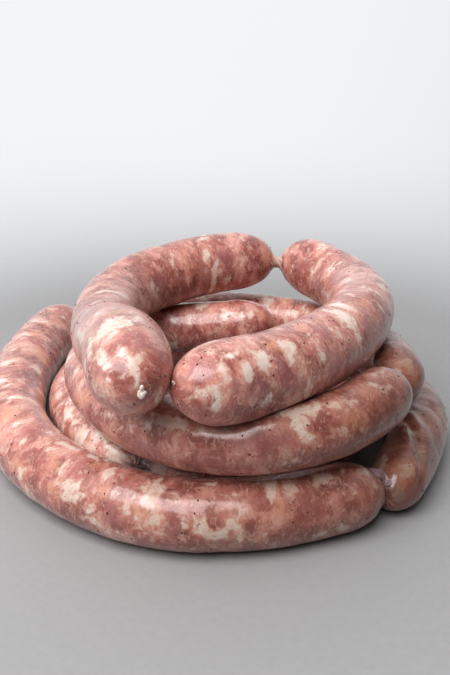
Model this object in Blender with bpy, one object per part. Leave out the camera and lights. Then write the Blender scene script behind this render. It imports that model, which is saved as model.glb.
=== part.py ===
"""A coil of raw sausage links, three tiers high.

Every link is a plump tube of meat in casing that follows its own smooth route round the
coil's upright axis. Twists of empty casing join one link to the next. Links that touch are
pressed flat against each other, and the lowest ones are flat where they lie on the table.

Lengths are in millimetres until mesh_object() turns them into metres. A route is a short list
of stations: the angle round the axis in degrees, counted from the right-hand side towards
the back, the distance from the axis and, above the lowest tier, the height of the centre line.
"""
import math

import bmesh
import bpy
import numpy as np

METRES = 0.001

# Links
SIDES = 16              # flats round a link
RING_STEP = 8.5         # distance between the rings of a link
CURVE_SAMPLES = 400
BLUNTNESS = 1.45        # length of a rounded end, in radii
CAP_RINGS = (0.035, 0.13, 0.30, 0.55)   # places of the rings in a rounded end, tip to body
BODY_START = 0.86       # place of the first ring of the body, in lengths of a rounded end
END_REACH = 0.8         # how far an end reaches past its last station, in radii
TABLE_PRESS = 0.6       # how far the lowest tier is pressed flat on the table
CONTACT_GAP = 0.42      # clearance kept between neighbours
SPHERE_STEP = 1.5       # spacing of the spheres that fill a link, for finding contacts
END_TAPER = 11.0        # length over which those spheres shrink towards an end
NEAR = 1.0              # links closer than this are tested for contact
MOST_PRESSED = 0.3      # least share of its radius that a pressed link keeps
BISECTIONS = 14

# Twists of casing
TWIST_SIDES = 10
TWIST_RINGS = 7
TWIST_WAIST = 0.74      # thinnest part of a twist, in its end radii
TWIST_GAP = 0.45        # clearance between a twist and the two links that it joins
TWIST_HANDLE = 0.4      # how far each end's direction carries, as a share of the span

# Lowest tier: (angle, distance from the axis), as these lie on the table
OUTER_FRONT = ((134, 149), (151, 126), (170, 111), (200, 102), (235, 100), (262, 103), (285, 104),
               (307, 109))
OUTER_RIGHT = ((-44, 115), (-25, 110), (-6, 111), (14, 104), (35, 96), (58, 95), (82, 101), (117, 118))
INNER_LEFT = ((88, 70), (112, 76), (140, 79), (165, 76), (190, 70), (214, 67), (235, 71))
INNER_FRONT = ((259, 73), (283, 73), (308, 72), (332, 71), (357, 71))

# Upper tiers: (angle, distance from the axis, height)
MIDDLE_FRONT = ((52, 39, 48), (85, 31, 46.5), (125, 38, 45), (160, 51.5, 45), (195, 61.5, 43),
                (230, 71, 43.2), (258, 87, 44.5), (280, 99, 46.3), (302, 102, 47.9), (324, 100, 48.4))
MIDDLE_RIGHT = ((110, 64, 40), (86, 61, 42), (62, 64, 42), (40, 71, 42), (18, 80, 42), (-3, 91, 43),
                (-22, 98, 44))
TOP_LEFT = ((66, 57, 79), (92, 44, 79), (125, 39, 77), (160, 44, 74), (190, 51, 70), (220, 61, 69),
            (238, 75, 75), (249, 91, 80), (256.5, 115, 81))
TOP_RIGHT = ((43, 72, 78), (26, 76, 74), (0, 78, 71), (-26, 75, 70), (-50, 77, 70), (-70, 87, 71),
             (-90, 106, 75))

# Each link's route and its radius at the start, the middle and the end
LINKS = {
    "outer_front_link": (OUTER_FRONT, (17.9, 16.0, 14.5)),
    "outer_right_link": (OUTER_RIGHT, (12.8, 15.2, 16.4)),
    "inner_left_link": (INNER_LEFT, (15.6, 15.5, 15.4)),
    "inner_front_link": (INNER_FRONT, (15.4, 15.5, 15.3)),
    "middle_front_link": (MIDDLE_FRONT, (14.0, 13.9, 14.1)),
    "middle_right_link": (MIDDLE_RIGHT, (14.1, 14.2, 14.3)),
    "top_left_link": (TOP_LEFT, (16.4, 17.0, 17.0)),
    "top_right_link": (TOP_RIGHT, (16.3, 16.5, 16.8)),
}

# Each twist joins the start (0) or end (1) of one link to that of another. It leaves both
# links towards each other, tilted upwards by its rise, and has a radius at its two ends.
TWISTS = {
    "top_twist": ("top_left_link", 0, "top_right_link", 0, 0.0, 4.4),
    "outer_twist": ("outer_front_link", 1, "outer_right_link", 0, 1.6, 1.7),
    "inner_twist": ("inner_left_link", 1, "inner_front_link", 0, 0.0, 3.2),
}

MEAT_COLOUR = (0.52, 0.25, 0.21)
CASING_COLOUR = (0.72, 0.55, 0.50)
MEAT_ROUGHNESS = 0.42
CASING_ROUGHNESS = 0.35


def smooth_curve(stations, count):
    """Read count evenly spread points from the natural cubic spline through the stations."""
    steps = np.linalg.norm(np.diff(stations, axis=0), axis=1)
    knots = np.concatenate(([0.0], np.cumsum(steps)))
    size = len(stations)
    system = np.eye(size)
    target = np.zeros((size, 3))
    for row in range(1, size - 1):
        before, after = steps[row - 1], steps[row]
        system[row, row - 1:row + 2] = before, 2 * (before + after), after
        slopes = np.diff(stations[row - 1:row + 2], axis=0) / np.array([[before], [after]])
        target[row] = 6 * (slopes[1] - slopes[0])
    bend = np.linalg.solve(system, target)
    places = np.linspace(0, knots[-1], count)
    span = np.clip(np.searchsorted(knots, places, side="right") - 1, 0, size - 2)
    width = steps[span][:, None]
    ahead = (places - knots[span])[:, None]
    behind = width - ahead
    ends = bend[span] * behind ** 3 + bend[span + 1] * ahead ** 3
    first = (stations[span] / width - bend[span] * width / 6) * behind
    second = (stations[span + 1] / width - bend[span + 1] * width / 6) * ahead
    return ends / (6 * width) + first + second


def distances_along(points):
    """Give each point's distance from the first, measured along the line."""
    return np.concatenate(([0.0], np.cumsum(np.linalg.norm(np.diff(points, axis=0), axis=1))))


def radius_along(radii, share):
    """Read a link's plump radius at a share of its length, from its three named radii."""
    start, middle, end = radii
    swing = 2 * share - 1
    return middle + (end - start) / 2 * swing + ((start + end) / 2 - middle) * swing ** 2


class Link:
    """A link's centre line, its surface radius, and the spheres that fill it."""

    def __init__(self, route, radii):
        self.radii = radii
        places = np.array([self.place(*station) for station in route])
        fine = smooth_curve(places, CURVE_SAMPLES)
        length = distances_along(fine)
        if len(route[0]) == 2:
            fine[:, 2] = radius_along(radii, length / length[-1]) - TABLE_PRESS
        self.fill_with_spheres(fine, length)
        self.line = self.extend(fine)
        self.length = distances_along(self.line)

    @staticmethod
    def place(angle, distance, height=0.0):
        turn = math.radians(angle)
        return distance * math.cos(turn), distance * math.sin(turn), height

    def extend(self, fine):
        """Lengthen the centre line to the tips of the two rounded ends."""
        first = fine[0] - fine[2]
        last = fine[-1] - fine[-3]
        start = fine[0] + first / np.linalg.norm(first) * self.radii[0] * END_REACH
        end = fine[-1] + last / np.linalg.norm(last) * self.radii[2] * END_REACH
        return np.vstack((start, fine, end))

    def fill_with_spheres(self, fine, length):
        count = int(length[-1] / SPHERE_STEP)
        places = np.linspace(0, length[-1], count)
        self.centres = np.stack([np.interp(places, length, fine[:, axis]) for axis in range(3)], axis=1)
        to_end = np.minimum(places, length[-1] - places)
        pinch = (1 - END_REACH) * np.clip(1 - to_end / END_TAPER, 0, 1) ** 2
        self.spheres = radius_along(self.radii, places / length[-1]) * (1 - pinch)

    def depth(self, points):
        """Signed distance from the points to the link's surface, less than zero inside."""
        apart = np.linalg.norm(points[:, None] - self.centres[None], axis=2)
        return (apart - self.spheres).min(axis=1)

    def rings(self):
        """Give each ring's centre, forward direction and radius, and the hub it is pressed towards."""
        total = self.length[-1]
        ends = BLUNTNESS * self.radii[0], BLUNTNESS * self.radii[2]
        cap = np.array(CAP_RINGS)
        body_count = max(2, round((total - sum(ends)) / RING_STEP))
        body = np.linspace(ends[0] * BODY_START, total - ends[1] * BODY_START, body_count)
        places = np.concatenate((cap * ends[0], body, (total - cap * ends[1])[::-1]))
        centres = self.points_at(places)
        forward = self.points_at(places + 1) - self.points_at(places - 1)
        forward /= np.linalg.norm(forward, axis=1)[:, None]
        plump = radius_along(self.radii, places / total)
        to_tip = np.minimum(places / ends[0], (total - places) / ends[1])
        radius = plump * np.sqrt(1 - np.clip(1 - to_tip, 0, 1) ** 2)
        hubs = self.points_at(np.clip(places, self.length[1], self.length[-2]))
        return centres, forward, radius, hubs

    def points_at(self, places):
        return np.stack([np.interp(places, self.length, self.line[:, axis]) for axis in range(3)], axis=1)

    def tip(self, end):
        return self.line[-1] if end else self.line[0]

    def end_ball(self, end):
        """Give the centre and the radius of the ball that a rounded end follows."""
        if end:
            return self.line[-2], self.radii[2] * END_REACH
        return self.line[1], self.radii[0] * END_REACH


def press_back(link, others, hubs, points):
    """Draw each point back towards its hub until it clears every neighbour."""
    near = [other for other in others if link_distance(link, other) < NEAR]
    if not near:
        return points
    spokes = points - hubs
    low = np.full(len(points), MOST_PRESSED)
    high = np.ones(len(points))
    for _ in range(BISECTIONS):
        share = (low + high) / 2
        clear = clearance(link, near, hubs + spokes * share[:, None]) >= 0
        low = np.where(clear, share, low)
        high = np.where(clear, high, share)
    share = np.where(clearance(link, near, points) >= 0, 1.0, low)
    return hubs + spokes * share[:, None]


def clearance(link, near, points):
    """Compare the points' distances from their link and from the nearest other one."""
    return np.min([other.depth(points) for other in near], axis=0) - link.depth(points) - CONTACT_GAP


def link_distance(first, second):
    """Find the clearance between two links before they are pressed together."""
    apart = np.linalg.norm(first.centres[:, None] - second.centres[None], axis=2)
    return (apart - first.spheres[:, None] - second.spheres[None]).min()


def link_surface(link, others):
    """Work out a link's two tips and its rings, pressed flat where it touches something."""
    centres, forward, radius, hubs = link.rings()
    sideways = np.cross(forward, (0.0, 0.0, 1.0))
    sideways /= np.linalg.norm(sideways, axis=1)[:, None]
    upwards = np.cross(sideways, forward)
    half_step = 0.5     # so that a flat, not a corner, lies lowest
    turns = (np.arange(SIDES) + half_step) * 2 * math.pi / SIDES
    spokes = sideways[:, None] * np.cos(turns)[None, :, None] + upwards[:, None] * np.sin(turns)[None, :, None]
    rims = centres[:, None] + spokes * radius[:, None, None]
    points = np.vstack((link.tip(0), rims.reshape(-1, 3), link.tip(1)))
    hubs = np.vstack((link.end_ball(0)[0], np.repeat(hubs, SIDES, axis=0), link.end_ball(1)[0]))
    points = press_back(link, others, hubs, points)
    points[:, 2] = np.maximum(points[:, 2], 0.0)
    return points[0], points[1:-1].reshape(rims.shape), points[-1]


def twist_surface(first_ball, second_ball, rise, radius):
    """Work out the rings of a twist, which curves from one rounded end to the other."""
    across = second_ball[0] - first_ball[0]
    across /= np.linalg.norm(across)
    leave = across + (0.0, 0.0, rise)
    arrive = (0.0, 0.0, rise) - across
    leave /= np.linalg.norm(leave)
    arrive /= np.linalg.norm(arrive)
    start = first_ball[0] + leave * (first_ball[1] + TWIST_GAP)
    end = second_ball[0] + arrive * (second_ball[1] + TWIST_GAP)
    handle = np.linalg.norm(end - start) * TWIST_HANDLE
    corners = start, start + leave * handle, end + arrive * handle, end
    rings = []
    turns = np.arange(TWIST_SIDES) * 2 * math.pi / TWIST_SIDES
    for share in np.linspace(0, 1, TWIST_RINGS):
        rest = 1 - share
        centre = (rest ** 3 * corners[0] + 3 * rest ** 2 * share * corners[1]
                  + 3 * rest * share ** 2 * corners[2] + share ** 3 * corners[3])
        heading = (rest ** 2 * (corners[1] - corners[0]) + 2 * rest * share * (corners[2] - corners[1])
                   + share ** 2 * (corners[3] - corners[2]))
        heading /= np.linalg.norm(heading)
        sideways = np.cross(heading, (0.0, 0.0, 1.0))
        sideways /= np.linalg.norm(sideways)
        upwards = np.cross(sideways, heading)
        size = radius * (TWIST_WAIST + (1 - TWIST_WAIST) * (2 * share - 1) ** 2)
        rings.append(centre + size * (sideways * np.cos(turns)[:, None] + upwards * np.sin(turns)[:, None]))
    return start, np.array(rings), end


def material(name, colour, roughness):
    made = bpy.data.materials.new(name)
    made.use_nodes = True
    shader = made.node_tree.nodes["Principled BSDF"]
    shader.inputs["Base Color"].default_value = (*colour, 1.0)
    shader.inputs["Roughness"].default_value = roughness
    return made


def mesh_object(name, surface, look, shift):
    """Join a first tip, rings of points and a last tip into one closed body, in metres."""
    first_tip, rings, last_tip = surface
    mesh = bmesh.new()
    rows = [[mesh.verts.new((point + shift) * METRES) for point in ring] for ring in rings]
    start = mesh.verts.new((first_tip + shift) * METRES)
    end = mesh.verts.new((last_tip + shift) * METRES)
    sides = len(rows[0])
    for side in range(sides):
        ahead = (side + 1) % sides
        mesh.faces.new((start, rows[0][ahead], rows[0][side]))
        mesh.faces.new((end, rows[-1][side], rows[-1][ahead]))
        for lower, upper in zip(rows, rows[1:]):
            mesh.faces.new((lower[side], lower[ahead], upper[ahead], upper[side]))
    bmesh.ops.recalc_face_normals(mesh, faces=mesh.faces)
    data = bpy.data.meshes.new(name)
    mesh.to_mesh(data)
    mesh.free()
    data.shade_smooth()
    made = bpy.data.objects.new(name, data)
    made.data.materials.append(look)
    bpy.context.scene.collection.objects.link(made)
    return made


def footprint_shift(surfaces):
    """Move the coil so that the middle of its footprint is the origin."""
    points = np.concatenate([rings.reshape(-1, 3) for _, rings, _ in surfaces])
    middle = (points.min(axis=0) + points.max(axis=0)) / 2
    return np.array((-middle[0], -middle[1], 0.0))


def build():
    for old in list(bpy.data.objects):
        bpy.data.objects.remove(old, do_unlink=True)
    links = {name: Link(*shape) for name, shape in LINKS.items()}
    surfaces = {}
    for name, link in links.items():
        others = [other for key, other in links.items() if key != name]
        surfaces[name] = link_surface(link, others)
    shift = footprint_shift(surfaces.values())
    for name, surface in surfaces.items():
        look = material(name + "_meat", MEAT_COLOUR, MEAT_ROUGHNESS)
        mesh_object(name, surface, look, shift)
    for name, (first, first_end, second, second_end, rise, radius) in TWISTS.items():
        balls = links[first].end_ball(first_end), links[second].end_ball(second_end)
        surface = twist_surface(*balls, rise, radius)
        look = material(name + "_casing", CASING_COLOUR, CASING_ROUGHNESS)
        mesh_object(name, surface, look, shift)


build()
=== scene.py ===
"""The looks of a coil of raw sausage links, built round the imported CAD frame.

Each link is a dense tube that follows the same route as its CAD solid, is pressed flat where it
touches a neighbour or the table, and carries the unevenness of coarse meat in a thin casing.
Lengths are in millimetres until mesh_piece() turns them into metres. A place on a link is given
by its distance along the link and its angle round it: 0 is level, 90 is on top.
"""
import math

import bpy
import numpy as np
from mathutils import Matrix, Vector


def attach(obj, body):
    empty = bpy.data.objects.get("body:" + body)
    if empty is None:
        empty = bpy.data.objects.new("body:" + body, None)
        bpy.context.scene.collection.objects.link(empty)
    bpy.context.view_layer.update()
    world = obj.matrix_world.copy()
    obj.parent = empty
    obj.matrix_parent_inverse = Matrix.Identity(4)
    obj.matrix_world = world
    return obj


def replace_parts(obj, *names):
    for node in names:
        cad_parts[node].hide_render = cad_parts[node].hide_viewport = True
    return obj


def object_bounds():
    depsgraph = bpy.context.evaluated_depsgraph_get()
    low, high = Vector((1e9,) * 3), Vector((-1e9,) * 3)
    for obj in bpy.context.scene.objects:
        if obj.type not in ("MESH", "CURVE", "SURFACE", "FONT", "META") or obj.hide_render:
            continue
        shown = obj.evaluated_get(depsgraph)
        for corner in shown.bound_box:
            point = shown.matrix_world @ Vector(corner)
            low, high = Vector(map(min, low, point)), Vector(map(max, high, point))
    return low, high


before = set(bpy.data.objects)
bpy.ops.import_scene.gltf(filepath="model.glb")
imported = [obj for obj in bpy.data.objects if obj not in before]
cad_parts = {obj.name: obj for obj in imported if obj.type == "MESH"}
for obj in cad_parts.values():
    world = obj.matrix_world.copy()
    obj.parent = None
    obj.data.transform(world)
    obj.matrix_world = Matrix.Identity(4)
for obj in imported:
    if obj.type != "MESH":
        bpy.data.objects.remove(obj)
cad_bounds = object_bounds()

METRES = 0.001

# Link shape
SIDES = 96  # points round a link
RING_STEP = 1.0  # distance between the rings of a link's body
CAP_RINGS = 24  # rings of a rounded end, counting its tip and its widest ring
CURVE_SAMPLES = 400
HEADING_REACH = 2.0  # how far each way along the line a ring's heading is read
BLUNTNESS = 1.45  # length of a rounded end, in radii
END_REACH = 0.8  # how far an end reaches past its last station, in radii
TABLE_PRESS = 0.6  # how far the lowest tier is pressed flat on the table
CONTACT_GAP = 0.12  # clearance kept between neighbours
SPHERE_STEP = 1.5  # spacing of the spheres that fill a link, for finding contacts
END_TAPER = 11.0  # length over which those spheres shrink towards an end
NEAR = 2.0  # links closer than this are tested for contact
MOST_PRESSED = 0.3  # least share of its radius that a pressed link keeps
BISECTIONS = 12
BLOCK = 4000  # points whose depth is worked out at one time
SEED_OFFSET = (431.0, 97.0, 61.0)  # sets each link's own stretch of the meat pattern apart
TIP_STEP = 0.01  # how far past the ends of the unrolled link its tips lie

# Unevenness, as layers of soft noise: (amount, size of the features, offset of the seed)
LUMPS = ((0.42, 22, 0), (0.26, 8, 20), (0.10, 3.2, 40))
WRINKLE_WANDER = ((2.6, 10, 60),)
PATCH_ALONG = ((1.5, 6, 80), (0.7, 2.5, 81))
PATCH_AROUND = ((2.0, 7, 82), (0.7, 2.5, 83))
LEAST_RADIUS = 4.0  # taken for the thinner rings near a tip, so that patches don't shear there
RELIEF_START = (0.1, 0.7)  # shares of the plump radius between which the unevenness sets in

# Casing bunched up on the inside of a bend. A bend is measured as the radius of the link over
# that of its curved centre line.
BEND_WINDOW = 29  # rings over which a bend is averaged
WRINKLE_BEND = (0.20, 0.42)  # bends between which wrinkles set in
SLACK_BEND = (0.22, 0.42)  # bends between which the casing looks slack
WRINKLE_DEPTH = 0.20
WRINKLE_STEP = 4.4

# Routes, as in the CAD: (angle, distance from the axis[, height])
OUTER_FRONT = ((134, 149), (151, 126), (170, 111), (200, 102), (235, 100), (262, 103), (285, 104),
               (307, 109))
OUTER_RIGHT = ((-44, 115), (-25, 110), (-6, 111), (14, 104), (35, 96), (58, 95), (82, 101), (117, 118))
INNER_LEFT = ((88, 70), (112, 76), (140, 79), (165, 76), (190, 70), (214, 67), (235, 71))
INNER_FRONT = ((259, 73), (283, 73), (308, 72), (332, 71), (357, 71))
MIDDLE_FRONT = ((52, 39, 48), (85, 31, 46.5), (125, 38, 45), (160, 51.5, 45), (195, 61.5, 43),
                (230, 71, 43.2), (258, 87, 44.5), (280, 99, 46.3), (302, 102, 47.9), (324, 100, 48.4))
MIDDLE_RIGHT = ((110, 64, 40), (86, 61, 42), (62, 64, 42), (40, 71, 42), (18, 80, 42), (-3, 91, 43),
                (-22, 98, 44))
TOP_LEFT = ((66, 57, 79), (92, 44, 79), (125, 39, 77), (160, 44, 74), (190, 51, 70), (220, 61, 69),
            (238, 75, 75), (249, 91, 80), (256.5, 115, 81))
TOP_RIGHT = ((43, 72, 78), (26, 76, 74), (0, 78, 71), (-26, 75, 70), (-50, 77, 70), (-70, 87, 71),
             (-90, 106, 75))

# Each link's route and its radius at the start, the middle and the end
LINKS = {
    "outer_front_link": (OUTER_FRONT, (17.9, 16.0, 14.5)),
    "outer_right_link": (OUTER_RIGHT, (12.8, 15.2, 16.4)),
    "inner_left_link": (INNER_LEFT, (15.6, 15.5, 15.4)),
    "inner_front_link": (INNER_FRONT, (15.4, 15.5, 15.3)),
    "middle_front_link": (MIDDLE_FRONT, (14.0, 13.9, 14.1)),
    "middle_right_link": (MIDDLE_RIGHT, (14.1, 14.2, 14.3)),
    "top_left_link": (TOP_LEFT, (16.4, 17.0, 17.0)),
    "top_right_link": (TOP_RIGHT, (16.3, 16.5, 16.8)),
}

# Casing twists: first link and its end, second link and its end, rise of the arch, radius
TWISTS = {
    "top_twist": ("top_left_link", 0, "top_right_link", 0, 0.0, 4.4),
    "outer_twist": ("outer_front_link", 1, "outer_right_link", 0, 0.8, 4.4),
    "inner_twist": ("inner_left_link", 1, "inner_front_link", 0, 0.0, 3.2),
}

# The patches that stand out on each link: (distance along, angle round, length, width round)
PATCHES = {
    "top_left_link": {
        "fat": ((210, 72, 18, 15), (213, 34, 14, 5), (225, 48, 10, 4), (231.5, 101, 8, 6.5),
            (217, 8, 6, 5), (131, 100, 4, 22), (47, 138, 4, 11), (182, 20, 22, 5)),
        "pale": ((206, 102, 12, 12), (68, 130, 6, 22), (22, 165, 7, 8), (22, 115, 6, 9), (230, 8, 10, 13),
            (228, 78, 7, 6), (188, 60, 6, 16), (232, 290, 6, 10)),
        "orange": ((214, 42, 9, 8), (60, 140, 10, 16), (198, 88, 8, 18), (8, 150, 8, 14)),
        "mauve": ((223, 97, 9, 16), (228, 36, 9, 8), (33, 150, 12, 12), (175, 60, 5, 20),
            (80, 165, 10, 14)),
        "red": ((228, 143, 13, 14),),
        "casing": ((122, 130, 44, 26), (165, 15, 50, 8)),
    },
    "top_right_link": {
        # Painted highlight: the small fat patch at 201 along, 117 round, paints a bright wet highlight.
        "fat": ((189, 137, 10, 13), (197, 145, 6, 10), (196.5, 153, 3, 5), (206, 143, 5, 8),
            (212, 171, 12, 7), (209, 190, 4, 6), (174.5, 126, 7, 13), (201, 117, 6, 4), (131, 118, 9, 24),
            (122, 95, 8, 14)),
        "pale": ((206, 98, 9, 9), (187, 178, 4, 18), (190, 195, 6, 8), (169, 188, 8, 24),
            (159, 145, 6, 22), (92, 105, 5, 22), (12, 50, 6, 7), (35, 55, 5, 16), (32, 20, 4, 5),
            (203, 75, 16, 4), (144, 140, 5, 14), (48, 50, 10, 18), (62, 80, 8, 20), (78, 62, 8, 20),
            (26, 80, 10, 12)),
        "orange": ((90, 122, 6, 14), (180, 112, 14, 10), (110, 118, 8, 12)),
        "mauve": ((193, 166, 10, 13), (181, 150, 6, 9), (178, 168, 7, 12), (153, 162, 12, 18),
            (203, 160, 6, 6), (118, 152, 14, 16), (150, 128, 10, 12), (60, 45, 14, 12),
            (213, 116, 12, 14)),
        "red": ((214, 205, 14, 12), (207, 200, 7, 7)),
        "casing": ((72, 72, 44, 24), (98, 180, 60, 12), (132, 182, 16, 13)),
    },
    "middle_front_link": {
        # Painted highlight: the fat at 216 along, 42 round, and the pale patches at 212 and 232 along, 40
        # round, paint a sheen along the top of the link where it lies in shade under the top links.
        "fat": ((264, 74, 24, 7), (263, 50, 8, 11), (264, 30, 6, 6), (330, 80, 6, 26), (216, 42, 18, 6),
            (39, 105, 9, 8), (70, 95, 8, 12), (302, 72, 4, 6)),
        # Partly painted light: the pale patches in the first 90 along, where the link shows through the
        # middle of the coil, are partly real fat and partly stand in for light from behind.
        "pale": ((276, 18, 9, 6), (278, 68, 14, 6), (45, 145, 6, 11), (26, 138, 9, 15), (34, 172, 8, 5),
            (15, 140, 12, 12), (88, 110, 10, 14), (60, 130, 12, 12), (309, 88, 11, 9), (306, 52, 9, 6),
            (287, 58, 13, 8), (325, 15, 6, 15), (258, 345, 10, 5), (186, 24, 10, 10), (203, 25, 4, 11),
            (148, 45, 12, 9), (212, 40, 26, 9), (232, 40, 16, 6)),
        "orange": ((282, 34, 12, 12), (165, 20, 18, 10), (3, 115, 8, 15), (318, 60, 9, 10),
            (296, 68, 10, 8)),
        "mauve": ((283, 45, 12, 7), (250, 25, 26, 14), (208, 352, 20, 8)),
        "red": ((232, 345, 30, 7), (275, 345, 26, 6), (302, 25, 9, 10)),
        "casing": ((318, 355, 24, 10),),
    },
    "middle_right_link": {
        "fat": ((69, 68, 7, 14), (112, 60, 10, 12), (30, 60, 8, 12)),
        # Partly painted light: many pale patches here, where the link shows through the middle of the coil,
        # are partly real fat and partly stand in for light from behind.
        "pale": ((190, 105, 12, 12), (180, 70, 6, 10), (74, 42, 14, 13), (86, 38, 14, 13),
            (96, 62, 14, 12), (104, 84, 10, 10), (45, 50, 14, 14), (130, 70, 14, 12), (12, 70, 10, 12),
            (56, 92, 10, 10)),
        "orange": ((80, 72, 9, 9), (54, 80, 12, 12), (198, 150, 10, 10)),
        "mauve": ((172, 75, 10, 14),),
    },
    "outer_front_link": {
        "fat": ((262.5, 62, 9, 11), (264, 45, 4, 8), (263.5, 92, 3, 7), (284, 93, 8, 3), (308, 88, 9, 7),
            (307, 70, 4, 9), (316.5, 70, 7, 9), (331, 76, 11, 9), (282, 23, 5, 6), (287, 10, 9, 5),
            (292, 21, 6, 6), (295, 2, 4, 10), (230, 33, 14, 9), (241, 80, 5, 10), (228, 100, 8, 5),
            (212, 100, 13, 6), (350, 76, 8, 6), (110, 75, 6, 8), (131, 73, 8, 8), (110, 135, 8, 9),
            (155, 100, 5, 12)),
        "pale": ((264, 18, 11, 12), (268, 2, 6, 6), (240, 15, 10, 6), (243, 0, 12, 6), (302, 14, 9, 9),
            (293, 68, 5, 5), (253, 66, 10, 6), (208, 78, 13, 9), (222, 60, 7, 8), (202, 20, 7, 11),
            (50, 90, 8, 24), (150, 75, 9, 10), (340, 42, 9, 7), (354, 32, 8, 12), (180, 80, 5, 16),
            (92, 72, 7, 9), (195, 108, 7, 5), (133, 108, 6, 11), (30, 80, 8, 14), (72, 75, 8, 14),
            (252, 350, 12, 7), (276, 3, 6, 6), (300, 348, 10, 5), (272, 62, 7, 6), (277, 30, 9, 6),
            (298, 36, 10, 6), (255, 34, 8, 7)),
        "orange": ((244, 45, 9, 7), (260, 40, 9, 6), (310, 45, 9, 8), (200, 25, 12, 9), (217, 55, 8, 7),
            (232, 88, 6, 6), (90, 135, 16, 14), (70, 105, 12, 14), (168, 70, 14, 16), (45, 125, 14, 12),
            (222, 20, 8, 9)),
        "mauve": ((272, 12, 7, 7), (290, 348, 12, 7), (250, 22, 8, 9), (190, 110, 12, 8),
            (322, 30, 10, 9), (345, 50, 14, 9), (272, 350, 8, 10)),
        "red": ((272, 40, 12, 5), (290, 35, 10, 4), (188, 88, 10, 12), (210, 45, 10, 8), (316, 16, 12, 8),
            (302, 55, 8, 7), (252, 82, 10, 8)),
    },
    "outer_right_link": {
        "fat": ((68, 45, 9, 7), (11, 68, 8, 8), (60, 52, 9, 5), (38, 92, 4, 12), (88, 60, 5, 12)),
        "pale": ((17, 50, 5, 9), (33, 95, 8, 4), (62, 95, 5, 8), (28, 62, 6, 10), (76, 72, 5, 9)),
        "orange": ((11, 75, 14, 14), (68, 30, 9, 4), (27, 118, 12, 8)),
        "mauve": ((20, 85, 11, 13), (84, 80, 16, 20), (98, 60, 12, 14), (8, 20, 12, 14),
            (12, 155, 14, 10), (44, 85, 8, 10)),
        "red": ((38, 122, 14, 12), (52, 108, 12, 10), (54, 72, 9, 8), (14, 105, 8, 8), (58, 80, 9, 7),
            (22, 78, 8, 7)),
        "grey": ((9, 138, 12, 11), (34, 32, 28, 15), (2, 60, 5, 12)),
    },
    "inner_left_link": {
        "fat": ((168, 48, 11, 11), (188, 32, 13, 15), (199, 52, 9, 9), (209, 45, 12, 12)),
        "pale": ((150, 40, 14, 14), (138, 55, 12, 12), (160, 65, 10, 12), (178, 50, 8, 12),
            (166, 20, 22, 12), (196, 20, 22, 12), (140, 15, 16, 12), (184, 62, 12, 9), (157, 38, 9, 9),
            (178, 38, 8, 10)),
        "orange": ((174, 8, 6, 8),),
        "grey": ((216, 70, 9, 26),),
    },
    "inner_front_link": {
        "grey": ((4, 70, 14, 26),),
    },
}
FIELDS = ("fat", "orange", "mauve", "red", "grey", "casing")
PALE = 0.62  # how strongly a pale patch shows, where fat is 1
EDGE_FALL = 0.7  # brings a patch down to a half at its edge

# Patches that aren't listed, drawn at random for the places that the listed ones leave free
FILLERS = ("fat", "pale", "pale", "mauve", "mauve", "orange", "red")
FILLER_AREA = 105.0  # square millimetres of casing for each
FILLER_MARGIN = 3  # distance kept from the ends of the link
FILLER_LENGTHS = (3, 8)
FILLER_WIDTHS = (4, 14)
FILLER_ROOM = 0.55  # least distance from a listed patch, as a share of their two sizes

# Painted shade: how much darker and browner than the others a link is painted, at its start, middle and
# end. It lies mostly on the right-hand links and ends, away from the lamp, and is partly browner meat.
SHADE_TONES = {
    "top_left_link": (0.0, 0.15, 0.0),
    "outer_right_link": (1.0, 0.9, 0.5),
    "outer_front_link": (0.0, 0.0, 0.8),
    "middle_front_link": (0.0, 0.0, 0.9),
    "middle_right_link": (0.0, 0.1, 0.9),
}
UNSHADED_TONE = (0.0, 0.0, 0.0)

# Folds across a link: (distance along, angle round, half length round, slant, depth, width)
FOLDS = {
    "outer_right_link": ((32, 72, 34, 0.43, 1.8, 4.6), (52, 78, 28, 0.29, 0.7, 3.8),
                         (66, 75, 28, 0.10, 0.5, 3.6)),
    "inner_left_link": ((181, 55, 40, 0.0, 0.7, 1.8), (199, 50, 44, 0.0, 0.8, 1.8)),
    "outer_front_link": ((356, 50, 60, 0.0, 0.5, 1.8),),
    "middle_front_link": ((199, 30, 26, 0.0, 0.35, 1.8),),
}
FOLD_SIDES = 2.0  # how far from a crease the casing bulges, in widths of the crease
FOLD_SWELL = 0.55  # height of those bulges, as a share of the depth
CREST_HIGHLIGHT_PLACE = 0.8  # how far before the middle of a crease its painted highlight runs, in widths
CREST_HIGHLIGHT_WIDTH = 0.45  # width of the painted highlight, in widths of the crease

# Places where a link is plumper: (distance along, angle round, half length, half angle, height)
BULGES = {
    "top_right_link": ((148, 235, 30, 60, 1.6),),
    "middle_front_link": ((198, 120, 16, 40, 1.5),),
}

# How deeply the casing is gathered round the start and the end of a link
GATHERS = {
    "outer_right_link": (0.25, 0.16),
    "inner_left_link": (0.16, 0.45),
    "inner_front_link": (0.4, 0.16),
}
PLAIN_GATHERS = (0.16, 0.16)
GATHER_REACH = 5.5  # how far from the tie the gathers run
GATHER_START = (0.6, 2.6)  # distances from the tie between which they set in
TIE_DEPTH = 0.9  # how deeply the casing is drawn in at the tie
TIE_REACH = 2.2

# Shape of a twist. Its pleats are (depth as a share of its radius, how many go round, turn).
TWIST_RINGS = 44
TWIST_SIDES = 64
TWIST_SINK = 1.2  # how deep in the rounded ends a twist starts
TWIST_HANDLE = 0.4  # how far each end's direction carries, as a share of the span
TWIST_WAIST = 0.66  # radius at the middle, as a share of the named radius
TWIST_FLARE = (0.34, 0.25)  # gentle and sudden widening towards the ends
TWIST_TURN = 2.6
TWIST_PLEATS = ((0.08, 7, 0), (0.05, 4, 1), (0.02, 15, 0))

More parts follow.
